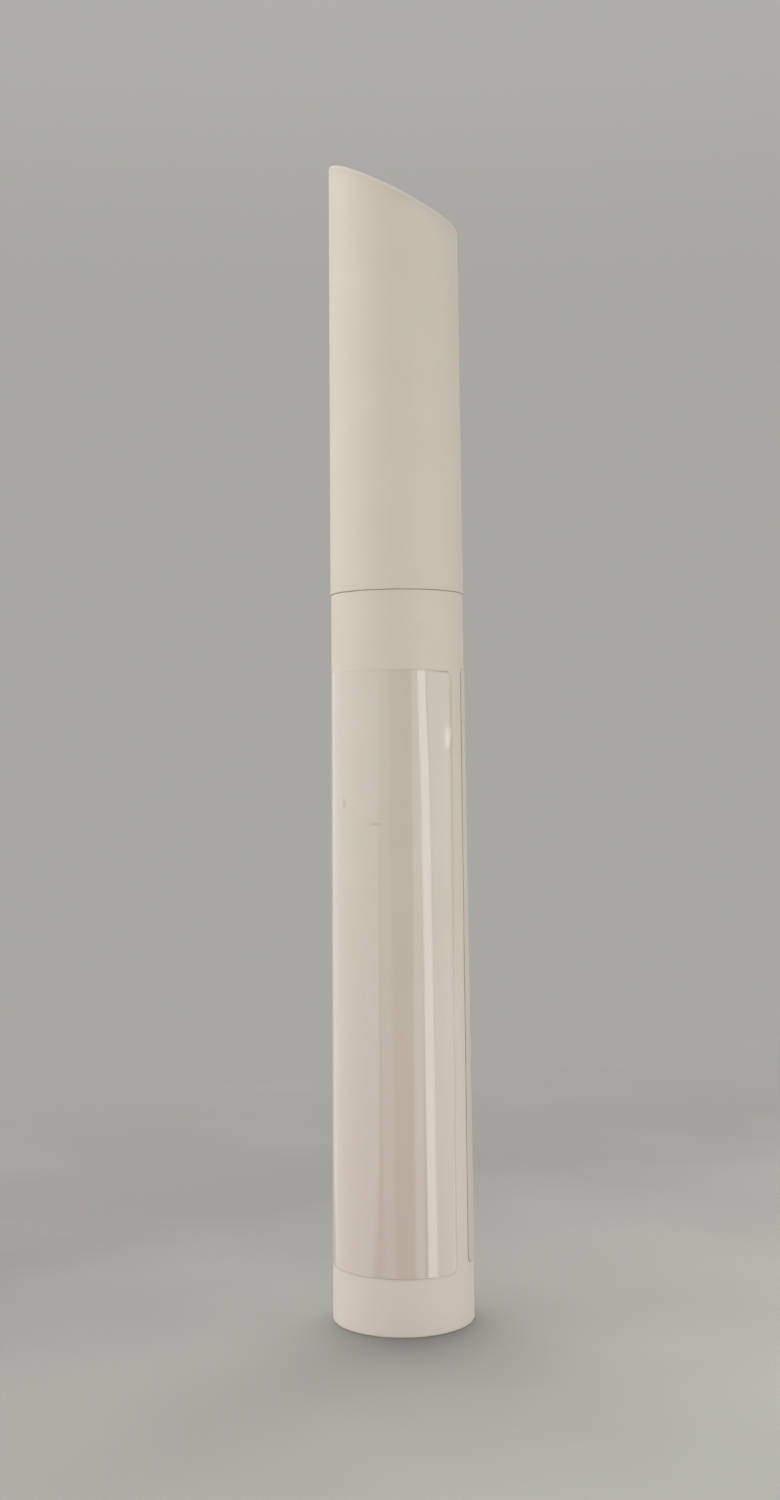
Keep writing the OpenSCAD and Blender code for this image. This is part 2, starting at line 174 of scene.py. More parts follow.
def putMesh(name, parts):
    # Joins closed shells, each given as points in millimetres, quads and triangles, into one mesh.
    points, quads, triangles, base = [], [], [], 0
    for p, q, t in parts:
        if volume(p, q, t) < 0:
            q, t = q[:, ::-1], t[:, ::-1]
        points.append(p * mm)
        quads.append(q + base)
        triangles.append(t + base)
        base += len(p)
    points, quads, triangles = (np.concatenate(x) for x in (points, quads, triangles))
    mesh = bpy.data.meshes.new(name)
    corners = np.concatenate([quads.ravel(), triangles.ravel()]).astype(np.int32)
    starts = np.concatenate([4 * np.arange(len(quads)), 4 * len(quads) + 3 * np.arange(len(triangles))])
    mesh.vertices.add(len(points))
    mesh.vertices.foreach_set("co", points.astype(np.float32).ravel())
    mesh.loops.add(len(corners))
    mesh.loops.foreach_set("vertex_index", corners)
    mesh.polygons.add(len(starts))
    mesh.polygons.foreach_set("loop_start", starts.astype(np.int32))
    mesh.polygons.foreach_set("use_smooth", np.ones(len(starts), bool))
    mesh.update(calc_edges=True)
    mesh.validate()
    piece = bpy.data.objects.new(name, mesh)
    bpy.context.scene.collection.objects.link(piece)
    return piece


def giveAttribute(piece, name, values):
    # one number for each vertex, which a material reads by name
    layer = piece.data.attributes.new(name, "FLOAT", "POINT")
    layer.data.foreach_set("value", np.asarray(values, np.float32).ravel())


penPieces = []  # every piece that dress has finished, for the lamps that light the pen alone


def dress(piece, body, slot, material, *nodes):
    # a piece's finish, the body it moves with, its slot, which is not used, and the CAD nodes that it stands
    # for
    penPieces.append(piece)
    piece.data.materials.clear()
    piece.data.materials.append(material)
    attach(piece, body)
    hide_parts(*nodes)
    return piece


def smoothCopy(node, name, sharpAngle=32, joinWithin=1e-7):
    # A copy of a CAD node with its loose triangles joined where their corners lie within joinWithin
    # metres. An edge whose faces meet at more than sharpAngle stays sharp, and the rest is shaded smooth.
    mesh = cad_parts[node].data.copy()
    mesh.name = name
    work = bmesh.new()
    work.from_mesh(mesh)
    bmesh.ops.remove_doubles(work, verts=work.verts, dist=joinWithin)
    for edge in work.edges:
        edge.smooth = len(edge.link_faces) == 2 and edge.calc_face_angle(0) < math.radians(sharpAngle)
    for face in work.faces:
        face.smooth = True
    work.to_mesh(mesh)
    work.free()
    piece = bpy.data.objects.new(name, mesh)
    bpy.context.scene.collection.objects.link(piece)
    return piece


def srgb(r, g, b):
    # a colour as it looks on a screen, 0 to 255, as the linear colour that a shader takes
    c = np.array([r, g, b]) / 255
    return tuple(np.where(c <= 0.04045, c / 12.92, ((c + 0.055) / 1.055) ** 2.4)) + (1.0,)


class Finish:
    # A material with short calls for the few nodes used here. Its coordinates are in millimetres.
    def __init__(self, name, roughness, colour, **sockets):
        # the material with its shader's first values, and the object's own coordinates
        self.material = bpy.data.materials.new(name)
        self.material.use_nodes = True
        self.material.diffuse_color = colour
        self.tree = self.material.node_tree
        self.shader = self.tree.nodes["Principled BSDF"]
        self.set(self.shader, **{"Base Color": colour, "Roughness": roughness}, **sockets)
        self.object = self.node("ShaderNodeTexCoord").outputs["Object"]

    def node(self, kind, **settings):
        # a new node with its settings
        made = self.tree.nodes.new(kind)
        for key, value in settings.items():
            setattr(made, key, value)
        return made

    def set(self, node, **sockets):
        # each socket gets a link from another node's socket, or a plain value
        self.fill([node.inputs[key] for key in sockets], sockets.values())
        return node

    def millimetres(self, stretch=(1, 1, 1), turn=(0, 0, 0)):
        # object coordinates times 1000, stretched along an axis where the pattern runs that way
        made = self.node("ShaderNodeMapping")
        made.inputs["Scale"].default_value = [1000 * s for s in stretch]
        made.inputs["Rotation"].default_value = turn
        self.tree.links.new(self.object, made.inputs["Vector"])
        return made.outputs["Vector"]

    def byHeight(self, lowPaintedLightColour, lowZ, colour, highZ):
        # one colour below lowZ, another above highZ and an even change between them
        z = self.node("ShaderNodeSeparateXYZ")
        self.tree.links.new(self.object, z.inputs[0])
        return self.mix(self.range(z.outputs["Z"], lowZ * mm, highZ * mm, 0, 1), lowPaintedLightColour, colour)

    def noise(self, vector, perMm, detail=2.0, roughness=0.5):
        # clouds of about perMm waves to the millimetre, from 0 to 1
        made = self.node("ShaderNodeTexNoise")
        self.set(made, Vector=vector, Scale=perMm, Detail=detail, Roughness=roughness)
        return made.outputs["Fac"]

    def range(self, value, fromLow, fromHigh, toLow, toHigh, smooth=False):
        # the value moved from one range into another, evenly or along a smooth step
        made = self.node("ShaderNodeMapRange", interpolation_type="SMOOTHSTEP" if smooth else "LINEAR")
        made.inputs["From Min"].default_value = fromLow
        made.inputs["From Max"].default_value = fromHigh
        made.inputs["To Min"].default_value = toLow
        made.inputs["To Max"].default_value = toHigh
        self.tree.links.new(value, made.inputs["Value"])
        return made.outputs["Result"]

    def fill(self, sockets, values):
        # each socket in turn gets a link or a plain value
        for socket, value in zip(sockets, values):
            if isinstance(value, bpy.types.NodeSocket):
                self.tree.links.new(value, socket)
            else:
                socket.default_value = value

    def math(self, operation, a, b=0.0):
        # a sum or product of two numbers
        made = self.node("ShaderNodeMath", operation=operation)
        self.fill(made.inputs, (a, b))
        return made.outputs["Value"]

    def mix(self, share, first, second):
        # the first colour where the share is 0 and the second where it is 1
        made = self.node("ShaderNodeMix", data_type="RGBA")
        self.fill((made.inputs[0], made.inputs[6], made.inputs[7]), (share, first, second))
        return made.outputs[2]

    def bump(self, height, depthMm, strength=1.0, under=None):
        # the shading of a relief depthMm deep, laid over the one under it
        made = self.node("ShaderNodeBump")
        made.inputs["Strength"].default_value = strength
        made.inputs["Distance"].default_value = depthMm * mm
        self.tree.links.new(height, made.inputs["Height"])
        if under is not None:
            self.tree.links.new(under, made.inputs["Normal"])
        self.tree.links.new(made.outputs["Normal"], self.shader.inputs["Normal"])
        return made.outputs["Normal"]


noiseSpread = (0.3, 0.7)  # nearly all values of a noise lie between these
plasticIor = 1.49


def mouldedPlastic(name, look):
    # Moulded plastic: cloudy patches in the colour, a fine eroded grain in the gloss, and a shallow
    # waviness under it where the wall has shrunk. A piece with a low colour turns to it towards the foot,
    # painted bounce light. The slanted rim takes a deeper colour, painted shade that tones down the pale
    # line the light from above draws along it, by the share that the piece's attribute of that name gives.
    f = Finish(name, look["gloss"], srgb(*look["colour"]), IOR=plasticIor)
    place = f.millimetres()
    cloud = f.noise(place, look["cloudPerMm"], detail=3.0, roughness=0.55)
    base = f.mix(f.range(cloud, *noiseSpread, 0, 1), srgb(*look["colour"]), srgb(*look["cloudColour"]))
    # painted bounce light: the barrel turns pinker and a little paler towards the foot
    if "lowPaintedLightColour" in look:
        base = f.byHeight(srgb(*look["lowPaintedLightColour"]), look["lowZ"], base, look["highZ"])
    # painted shade: the rim's deeper colour tones down the pale line that the light from above draws along it
    if "rimShadeColour" in look:
        rim = f.node("ShaderNodeAttribute", attribute_name="rim").outputs["Fac"]
        base = f.mix(rim, base, srgb(*look["rimShadeColour"]))
    f.set(f.shader, **{"Base Color": base})
    grain = f.noise(place, look["grainPerMm"], detail=3.0, roughness=0.6)
    f.set(f.shader, Roughness=f.range(grain, *noiseSpread, look["gloss"] - look["glossChange"],
                                      look["gloss"] + look["glossChange"]))
    wave = f.bump(f.noise(place, look["wavePerMm"], detail=1.0), look["waveDepth"])
    f.bump(grain, look["grainDepth"], under=wave)
    return f.material


plasticLooks = {
    "capPlastic": {"colour": (198, 188, 174), "cloudColour": (195, 185, 170), "cloudPerMm": 0.16,
                   "gloss": 0.5, "glossChange": 0.03, "grainPerMm": 7.0, "grainDepth": 0.003,
                   "wavePerMm": 0.22, "waveDepth": 0.02, "rimShadeColour": (180, 172, 159)},
    "barrelPlastic": {"colour": (198, 188, 174), "cloudColour": (194, 184, 169), "cloudPerMm": 0.14,
                      "gloss": 0.5, "glossChange": 0.03, "grainPerMm": 7.0, "grainDepth": 0.003,
                      "wavePerMm": 0.2, "waveDepth": 0.02, "lowPaintedLightColour": (200, 189, 179), "lowZ": 3.0,
                      "highZ": 50.0},
    "sectionPlastic": {"colour": (206, 199, 187), "cloudColour": (201, 194, 182), "cloudPerMm": 0.3,
                       "gloss": 0.28, "glossChange": 0.03, "grainPerMm": 9.0, "grainDepth": 0.0015,
                       "wavePerMm": 0.4, "waveDepth": 0.01},
    "linerPlastic": {"colour": (202, 196, 185), "cloudColour": (195, 189, 178), "cloudPerMm": 0.35,
                     "gloss": 0.4, "glossChange": 0.05, "grainPerMm": 6.0, "grainDepth": 0.003,
                     "wavePerMm": 0.3, "waveDepth": 0.012},
    "valvePlastic": {"colour": (199, 203, 205), "cloudColour": (189, 193, 196), "cloudPerMm": 0.5,
                     "gloss": 0.36, "glossChange": 0.05, "grainPerMm": 8.0, "grainDepth": 0.002,
                     "wavePerMm": 0.6, "waveDepth": 0.008},
    "seatRubber": {"colour": (78, 78, 81), "cloudColour": (66, 66, 69), "cloudPerMm": 0.8, "gloss": 0.6,
                   "glossChange": 0.08, "grainPerMm": 11.0, "grainDepth": 0.006, "wavePerMm": 0.7,
                   "waveDepth": 0.01},
}
plastics = {name: mouldedPlastic(name, look) for name, look in plasticLooks.items()}


def labelFilm(look):
    # Glossy film: the barrel's colour under a clear skin, darker and pinker towards the bottom as painted
    # shade and painted bounce light, handling marks in the gloss, and marks in the colour: the pale blister,
    # dust and painted shade along the cut edge and its glue, and the scuffs. How strong each mark is comes
    # from the sheet's attribute of that name.
    f = Finish("labelFilm", look["gloss"], srgb(*look["colour"]), IOR=look["ior"])
    place = f.millimetres()
    cloud = f.range(f.noise(place, look["cloudPerMm"], detail=3.0, roughness=0.55), *noiseSpread, 0, 1)
    base = f.mix(cloud, srgb(*look["colour"]), srgb(*look["cloudColour"]))
    # painted shade and painted bounce light: the film turns darker and pinker towards the bottom
    base = f.byHeight(srgb(*look["lowPaintedLightColour"]), look["lowZ"], base, look["highZ"])
    for mark in ("pale", "border", "scuff"):
        share = f.node("ShaderNodeAttribute", attribute_name=mark).outputs["Fac"]
        # the border's colour is dust and painted shade: it stands in for the shadow along the film's cut edge
        if mark == "border":
            patchy = f.range(f.noise(place, look["dustShadePerMm"]), *look["dustShadeSpread"], *look["dustShadeShare"])
            share = f.math("MULTIPLY", share, patchy)
        base = f.mix(share, base, srgb(*look[mark + "Colour"]))
    f.set(f.shader, **{"Base Color": base})
    smear = f.noise(f.millimetres(look["smearStretch"]), look["smearPerMm"], detail=3.0, roughness=0.6)
    f.set(f.shader, Roughness=f.range(smear, *look["smearSpread"], look["gloss"],
                                      look["gloss"] + look["smear"]))
    f.bump(f.noise(f.millimetres(look["waveStretch"]), look["wavePerMm"], detail=1.0), look["waveDepth"])
    return f.material


# The colour towards the bottom is painted shade and painted bounce light; the border's colour is dust and
# painted shade along the cut edge.
filmLook = {"colour": (192, 182, 168), "cloudColour": (188, 178, 163), "cloudPerMm": 0.14,
            "lowPaintedLightColour": (188, 174, 162), "lowZ": 15.0, "highZ": 48.0, "paleColour": (214, 206, 192),
            "borderColour": (150, 138, 120), "dustShadePerMm": 0.35, "dustShadeSpread": (0.35, 0.65),
            "dustShadeShare": (0.6, 1.2), "scuffColour": (150, 138, 122), "gloss": 0.08, "smear": 0.03,
            "smearPerMm": 0.5, "smearStretch": (1, 1, 0.25), "smearSpread": (0.35, 0.75), "ior": 1.85,
            "wavePerMm": 0.32, "waveStretch": (1, 1, 0.12), "waveDepth": 0.03}
film = labelFilm(filmLook)


def boundFelt(look):
    # Bonded fibre: strands along the tip in the colour, a tangle of fine bumps and a soft sheen.
    f = Finish("boundFelt", look["roughness"], srgb(*look["colour"]),
               **{"Sheen Weight": look["sheen"], "Sheen Roughness": look["sheenRoughness"]})
    strand = f.noise(f.millimetres(look["strandStretch"]), look["strandPerMm"], detail=4.0, roughness=0.65)
    tangle = f.noise(f.millimetres(), look["tanglePerMm"], detail=3.0, roughness=0.7)
    damp = f.range(f.noise(f.millimetres(), look["dampPerMm"]), *look["dampSpread"], 0, look["dampShare"],
                   smooth=True)
    fibre = f.mix(f.range(strand, *noiseSpread, 0, 1), srgb(*look["shadeColour"]), srgb(*look["colour"]))
    f.set(f.shader, **{"Base Color": f.mix(damp, fibre, srgb(*look["dampColour"]))})
    f.bump(tangle, look["tangleDepth"], under=f.bump(strand, look["strandDepth"]))
    return f.material


feltLook = {"colour": (222, 217, 204), "shadeColour": (190, 184, 168), "dampColour": (204, 193, 166),
            "roughness": 0.92, "sheen": 0.25, "sheenRoughness": 0.5, "strandPerMm": 9.0,
            "strandStretch": (1, 1, 0.14), "strandDepth": 0.05, "tanglePerMm": 16.0, "tangleDepth": 0.03,
            "dampPerMm": 0.45, "dampSpread": (0.4, 0.65), "dampShare": 0.5}
felt = boundFelt(feltLook)


def drawnSteel(look):
    # Drawn wire: fine scores along the wire, read from its own map, in the gloss and as bump.
    f = Finish("drawnSteel", look["gloss"], srgb(*look["colour"]), Metallic=1.0)
    wireMap = f.node("ShaderNodeUVMap", uv_map="wire").outputs["UV"]
    stretch = f.node("ShaderNodeMapping")
    stretch.inputs["Scale"].default_value = look["stretch"]
    f.tree.links.new(wireMap, stretch.inputs["Vector"])
    score = f.noise(stretch.outputs["Vector"], 1.0, detail=4.0, roughness=0.7)
    f.set(f.shader, Roughness=f.range(score, *noiseSpread, *look["glossSpread"]))
    f.bump(score, look["scoreDepth"])
    return f.material


steelLook = {"colour": (196, 197, 200), "gloss": 0.26, "glossSpread": (0.18, 0.38), "stretch": (30, 24, 1),
             "scoreDepth": 0.002}
steel = drawnSteel(steelLook)
print("finishes made:", len(bpy.data.materials))


cap = {"mouthZ": 73.022, "mouthR": 7.0, "topR": 6.95, "slantDrop": 7.6, "slantMidZ": 116.4534,
       "rimRound": 0.6, "rimShadeReach": 0.7, "mouthRound": 0.05, "mouthInnerRound": 0.06, "boreR": 6.05,
       "ledgeZ": 81.696, "ledgeRound": 0.1, "ledgeEdgeRound": 0.05, "linerBoreR": 5.7, "topWall": 1.2,
       "beadZ": 76.496, "grooveSection": 0.64, "grooveDepth": 0.17}


def capShell(c):
    # Each profile row is a radius, a height at the axis and a tilt: 0 lies level, 1 lies in the slanted
    # plane, and the wall between them blends. The rim's arc goes in by rimRound (1 - cos u) and down by
    # rimRound (1 - sin u) / cos(slant).
    slope = c["slantDrop"] / (2 * c["topR"])
    slant = math.atan(slope)
    e = c["rimRound"]
    u = np.radians(np.linspace(90, 0, 13))
    rimR, rimDrop = c["topR"] - e * (1 - np.cos(u)), e * (1 - np.sin(u)) / math.cos(slant)
    planeShare = np.array([0, 0.3, 0.6, 0.85, 0.97])
    rimLow = c["slantMidZ"] - rimDrop[-1]
    wallShare = np.array([0.997, 0.98, 0.9, 0.75, 0.6, 0.45, 0.3, 0.15, 0.03])
    mouth = softCorners([[c["mouthR"], c["mouthZ"] + 1, 0], [c["mouthR"], c["mouthZ"], c["mouthRound"]],
                         [c["boreR"], c["mouthZ"], c["mouthInnerRound"]],
                         [c["boreR"], c["beadZ"] - 1, 0]], 8)[1:-1]
    bore = np.array(bead(c["boreR"], c["beadZ"], c["grooveSection"], c["grooveDepth"]))[:, :2]
    ledge = softCorners([[c["boreR"], c["ledgeZ"] - 1, 0], [c["boreR"], c["ledgeZ"], c["ledgeRound"]],
                         [c["linerBoreR"], c["ledgeZ"], c["ledgeEdgeRound"]],
                         [c["linerBoreR"], c["ledgeZ"] + 1, 0]])[1:-1]
    low = withHolds(np.concatenate([mouth, bore, ledge]))
    roofZ = c["slantMidZ"] - c["topWall"] / math.cos(slant)
    roofShare = np.array([0.03, 0.25, 0.5, 0.75, 0.97, 1.0])
    middleShare = np.array([0.97, 0.6, 0.3, 0])
    r = np.concatenate([(c["topR"] - e) * planeShare, rimR,
                        c["mouthR"] + (c["topR"] - c["mouthR"]) * wallShare, low[:, 0],
                        0 * roofShare + c["linerBoreR"], c["linerBoreR"] * middleShare])
    z = np.concatenate([0 * planeShare + c["slantMidZ"], c["slantMidZ"] - rimDrop,
                        c["mouthZ"] + (rimLow - c["mouthZ"]) * wallShare, low[:, 1],
                        c["ledgeZ"] + (roofZ - c["ledgeZ"]) * roofShare, 0 * middleShare + roofZ])
    tilt = np.concatenate([np.ones(len(planeShare) + len(u)), wallShare, np.zeros(len(low)), roofShare,
                           np.ones(len(middleShare))])
    return turned(np.stack([r, z], 1), segments=240, tilt=tilt, slope=slope)


def rimShadeMark(points, c):
    # Painted shade: 1 on the slanted rim, falling off as a bell curve of the distance from it, inwards and
    # downwards, over the cap's shade reach: exp(-(inwards^2 + below^2) / reach^2)
    inwards = c["topR"] - np.hypot(points[:, 0], points[:, 1])
    below = c["slantMidZ"] - c["slantDrop"] / (2 * c["topR"]) * points[:, 0] - points[:, 2]
    return np.exp(-(inwards ** 2 + below ** 2) / c["rimShadeReach"] ** 2)


shell = capShell(cap)
capPiece = putMesh("capShell", [shell])
# the rim's share of painted shade
giveAttribute(capPiece, "rim", rimShadeMark(shell[0], cap))
dress(capPiece, "cap", "cap_plastic", plastics["capPlastic"], "cap_shell")

innerCap = {"lowZ": 80.296, "flangeR": 6.03, "flangeZ": 81.696, "r": 5.68, "roofZ": 111.0357, "wall": 0.73,
            "landR": 4.85, "landZ": 86.296, "landLead": 0.1, "insideR": 4.95, "lead": 0.2,
            "roofRound": 0.3, "flangeRound": 0.06, "mouthRound": 0.15, "leadRound": 0.03, "landRound": 0.05}


def innerCapShell(c):
    # From the roof's middle down the outside, round the mouth and up the inside to the roof again.
    roof = c["roofZ"] - c["wall"]
    return turned(withHolds(softCorners([
        [0, c["roofZ"], 0], [c["r"], c["roofZ"], c["roofRound"]], [c["r"], c["flangeZ"], c["flangeRound"]],
        [c["flangeR"], c["flangeZ"], c["flangeRound"]], [c["flangeR"], c["lowZ"], c["mouthRound"]],
        [c["landR"] + c["lead"], c["lowZ"], c["leadRound"]],
        [c["landR"], c["lowZ"] + c["lead"], c["landRound"]], [c["landR"], c["landZ"], c["landRound"]],
        [c["insideR"], c["landZ"] + c["landLead"], c["landRound"]],
        [c["insideR"], roof, c["roofRound"]], [0, roof, 0]])), segments=144)


dress(putMesh("innerCap", [innerCapShell(innerCap)]), "cap", "liner_plastic", plastics["linerPlastic"],
      "inner_cap")
print("cap made")


barrel = {"footR": 7.125, "mouthR": 6.925, "mouthZ": 72.996, "footRound": 0.1, "mouthRound": 0.05,
          "boreR": 5.425, "boreRound": 0.08, "plugZ": 66.996, "boreLowR": 5.275, "floorZ": 1.8,
          "floorRound": 0.5, "recessR": 4.925, "recessZ": 0.4, "recessRound": 0.1, "gateR": 0.7,
          "gateZ": 0.16, "gateSlope": 0.06, "gateRound": 0.08, "gateInnerRound": 0.05}


def barrelR(z):
    # the outside narrows evenly from the foot to the mouth
    return barrel["footR"] + (barrel["mouthR"] - barrel["footR"]) * z / barrel["mouthZ"]


def barrelShell(c):
    # From the middle of the floor up the bore, over the mouth, down the outside and under the foot to
    # the moulding gate in the middle of the recess.
    return turned(withHolds(softCorners([
        [0, c["floorZ"], 0], [c["boreLowR"], c["floorZ"], c["floorRound"]], [c["boreR"], c["plugZ"], 0],
        [c["boreR"], c["mouthZ"], c["boreRound"]], [c["mouthR"], c["mouthZ"], c["mouthRound"]],
        [c["footR"], 0, c["footRound"]], [c["recessR"], 0, c["recessRound"]],
        [c["recessR"] - c["recessZ"], c["recessZ"], c["recessRound"]],
        [c["gateR"], c["recessZ"], c["gateRound"]],
        [c["gateR"] - c["gateSlope"], c["gateZ"], c["gateInnerRound"]],
        [0, c["gateZ"], 0]]), longest=6.0), segments=240)


dress(putMesh("barrelShell", [barrelShell(barrel)]), "barrel", "barrel_plastic", plastics["barrelPlastic"],
      "barrel")

# A wave is its share of the lift, its turns along the height and where it starts. A scuff is its turn
# from the camera's side in degrees, its height on the pen, and its reach across and upwards. A speck on
# the back end is its height and its reach.
# The dust keys set dust and painted shade along the film's borders, where the cut edge casts its shadow.
label = {"low": 5.7, "high": 65.0, "length": 42.0, "meanZ": 35.0, "gapTurn": -17.0, "lean": 0.57,
         "lift": -0.08, "glue": 0.01, "thick": 0.06, "corner": 0.8, "columns": 241, "rows": 110,
         "borders": (0, 0.05, 0.11, 0.2, 0.35, 0.6), "fineRow": 0.1, "fineReach": 0.7, "endLift": 0.013,
         "endReach": 0.9, "endWaves": ((0.3, 0.23, 1.2), (0.15, 0.71, 0)), "blisterZ": 57.9,
         "blisterHigh": 1.05, "blisterIn": 0.66, "blisterWide": 0.5, "blisterLean": 0.14,
         "blisterFlare": 0.3, "blister": 0.04, "ridge": 0.085, "ridgeView": 12.7, "ridgeWide": 1.6,
         "ridgeLowZ": 50.0, "ridgeHighZ": 63.0, "edgeWide": 0.13, "sideDustShade": 0.16, "backDustShade": 0.01,
         "topDustShade": 0.2, "cornerDustShade": 2.0, "cornerReach": 2.7, "footDustShade": 0.02, "scuffShare": 0.5,
         "scuffs": ((-19.8, 49.3, 0.5, 0.12), (-52.4, 51.3, 0.22, 0.5)),
         "specks": ((59.5, 0.14), (53.0, 0.1))}
viewTurn = -75.56  # the direction that faces the camera, from +X towards +Y, in degrees


def labelSheet(c):
    # The sheet is a rectangle of length by height, its corners rounded, leaned by lean and wound round
    # the barrel: turn = arc / radius. Both faces stand off the barrel by the glue, the outer one also by
    # the film. The end that comes round from the back lifts in slow waves, the front end has a small pale
    # blister that leans and flares upwards, and a low ridge runs down from the top. Dust and painted shade
    # lie along the borders, where the cut edge casts its shadow: a bell curve of the distance to each,
    # strongest by the front end's top corner. Rows and columns lie closer near the borders, and rows also
    # at the heights of the scuffs.
    half, tall = c["length"] / 2, (c["high"] - c["low"]) / 2
    borders = np.array(c["borders"])
    columns = np.linspace(-1, 1, c["columns"])
    across = np.unique(np.concatenate([columns, 1 - borders / half, borders / half - 1]))
    arc = c["corner"] * (1 - np.sin(np.radians(np.linspace(90, 0, 10))))
    ends = np.unique(np.concatenate([arc, borders]))
    marked = np.array([scuff[1] for scuff in c["scuffs"]]) - (c["high"] + c["low"]) / 2
    fine = np.arange(marked.min() - c["fineReach"], marked.max() + c["fineReach"], c["fineRow"])
    rows = np.linspace(c["corner"] - tall, tall - c["corner"], c["rows"])
    up = np.unique(np.round(np.concatenate([rows, fine, ends - tall, tall - ends]), 6))
    deep = np.clip(np.abs(up) - (tall - c["corner"]), 0, c["corner"])
    reach = half - c["corner"] + np.sqrt(c["corner"] ** 2 - deep ** 2)
    p, q = across[None, :] * reach[:, None], np.repeat(up[:, None], len(across), 1)
    lean = math.radians(c["lean"])
    arcAt = p * math.cos(lean) + q * math.sin(lean)
    z = (c["high"] + c["low"]) / 2 + c["lift"] + q * math.cos(lean) - p * math.sin(lean)
    meanR = barrelR(c["meanZ"])
    turn = math.radians(c["gapTurn"] + 180) + arcAt / meanR
    fromBack, fromFront = p + half, half - p
    waves = sum(share * np.sin(z * perMm + shift) for share, perMm, shift in c["endWaves"])
    level = 1 - sum(share for share, perMm, shift in c["endWaves"])
    lifted = c["endLift"] * np.exp(-(fromBack / c["endReach"]) ** 2) * (level + waves)
    blisterUp = np.clip((z - c["blisterZ"]) / c["blisterHigh"], -1.5, 1.5)
    blisterIn = ((fromFront - c["blisterIn"] + c["blisterLean"] * blisterUp)
                 / (c["blisterWide"] * (1 + c["blisterFlare"] * blisterUp)))
    pale = np.exp(-blisterIn ** 4 - blisterUp ** 4)
    view = (np.degrees(turn) - viewTurn + 180) % 360 - 180
    fade = np.clip((z - c["ridgeLowZ"]) / (c["ridgeHighZ"] - c["ridgeLowZ"]), 0, 1)
    ridge = c["ridge"] * fade ** 2 * (3 - 2 * fade) * np.exp(-(np.radians(view - c["ridgeView"]) * meanR
                                                               / c["ridgeWide"]) ** 2)
    stand = c["glue"] + lifted + c["blister"] * pale + ridge
    r = barrelR(z) + stand
    grid = np.stack([np.cos(turn), np.sin(turn), np.zeros_like(z)], 2)
    rise = np.stack([0 * z, 0 * z, z], 2)

    def near(distance):
        # 1 on the edge, falling off as a bell curve
        return np.exp(-(distance / c["edgeWide"]) ** 2)

    # dust and painted shade: the darker borders stand in for the shadow of the film's cut edge
    topDustShade = c["topDustShade"] + c["cornerDustShade"] * np.exp(-(fromFront / c["cornerReach"]) ** 6)
    sides = near(fromFront) * c["sideDustShade"] + near(fromBack) * c["backDustShade"]
    dustAndShade = np.maximum(np.maximum(sides, near(tall - q) * topDustShade), near(tall + q) * c["footDustShade"])
    scuff = c["scuffShare"] * sum(np.exp(-((view - t) * math.pi / 180 * meanR / w) ** 2
                                         - ((z - h) / k) ** 2) for t, h, w, k in c["scuffs"])
    scuff += sum(np.exp(-((fromBack - w) ** 2 + (z - h) ** 2) / w ** 2) for h, w in c["specks"])
    marks = {"border": np.minimum(dustAndShade, 1), "scuff": scuff, "pale": pale}
    return sheetSolid(grid * (r + c["thick"])[..., None] + rise, grid * r[..., None] + rise), marks


sheet, sheetMarks = labelSheet(label)
labelPiece = putMesh("labelFilm", [sheet])
for name, values in sheetMarks.items():
    giveAttribute(labelPiece, name, np.concatenate([values.ravel()] * 2))
dress(labelPiece, "barrel", "label_film", film, "label")
print("barrel and label made")


section = {"plugZ": 66.996, "seamZ": 72.996, "plugR": 5.205, "plugLead": 0.5, "plugTopRound": 0.04,
           "ringZ": (68.496, 69.996, 71.496), "ringSection": 0.4, "ringOut": 0.2, "neckR": 5.9,
           "neckZ": 79.996, "neckLead": 0.3, "neckRound": 0.06, "beadZ": 76.496, "beadSection": 0.6,
           "beadOut": 0.13, "sealR": 4.8, "sealRound": 0.1, "coneZ": 87.996, "coneRound": 1.2,
           "noseR": 3.6108, "noseZ": 98.206, "noseRound": 0.33, "ventR": 2.9108, "ventRound": 0.12,
           "portR": 1.7009, "portRound": 0.08, "edgeRound": 0.05, "ledgeZ": 78.796, "housingR": 4.1701,
           "snapZ": 69.996, "snapSection": 0.39, "snapOut": 0.14, "ribs": 6, "ribWide": 0.6,
           "ribPoints": 5, "ribSink": 0.15, "ribLowZ": 81.646, "ribHighZ": 97.606, "gripR": 2.5608}


def frontSectionShell(c):
    # One closed loop: up the outside over the sealing rings, the neck and its snap bead to the nose, and
    # down the inside past the ledge to the snap groove of the valve housing.
    rings = sum((bead(c["plugR"], z, c["ringSection"], c["ringOut"]) for z in c["ringZ"]), [])
    outside = [[c["plugR"] - c["plugLead"], c["plugZ"], c["edgeRound"]],
               [c["plugR"], c["plugZ"] + c["plugLead"], c["edgeRound"]]]
    outside += rings
    outside += [[c["plugR"], c["seamZ"], c["plugTopRound"]], [c["neckR"], c["seamZ"], c["edgeRound"]]]
    outside += bead(c["neckR"], c["beadZ"], c["beadSection"], c["beadOut"])
    outside += [[c["neckR"], c["neckZ"] - c["neckLead"], c["neckRound"]],
                [c["neckR"] - c["neckLead"], c["neckZ"], c["neckRound"]],
                [c["sealR"], c["neckZ"], c["sealRound"]], [c["sealR"], c["coneZ"], c["coneRound"]],
                [c["noseR"], c["noseZ"], c["noseRound"]], [c["ventR"], c["noseZ"], c["ventRound"]]]
    inside = [[c["ventR"], c["neckZ"], c["edgeRound"]], [c["portR"], c["neckZ"], c["portRound"]],
              [c["portR"], c["ledgeZ"], c["portRound"]], [c["housingR"], c["ledgeZ"], c["edgeRound"]]]
    inside += bead(c["housingR"], c["snapZ"], c["snapSection"], c["snapOut"], upward=False)
    start = [[c["housingR"], c["plugZ"], 0]]
    loop = withHolds(softCorners(start + outside + inside + start))
    return turned(loop[:-1], segments=160, closed=True)


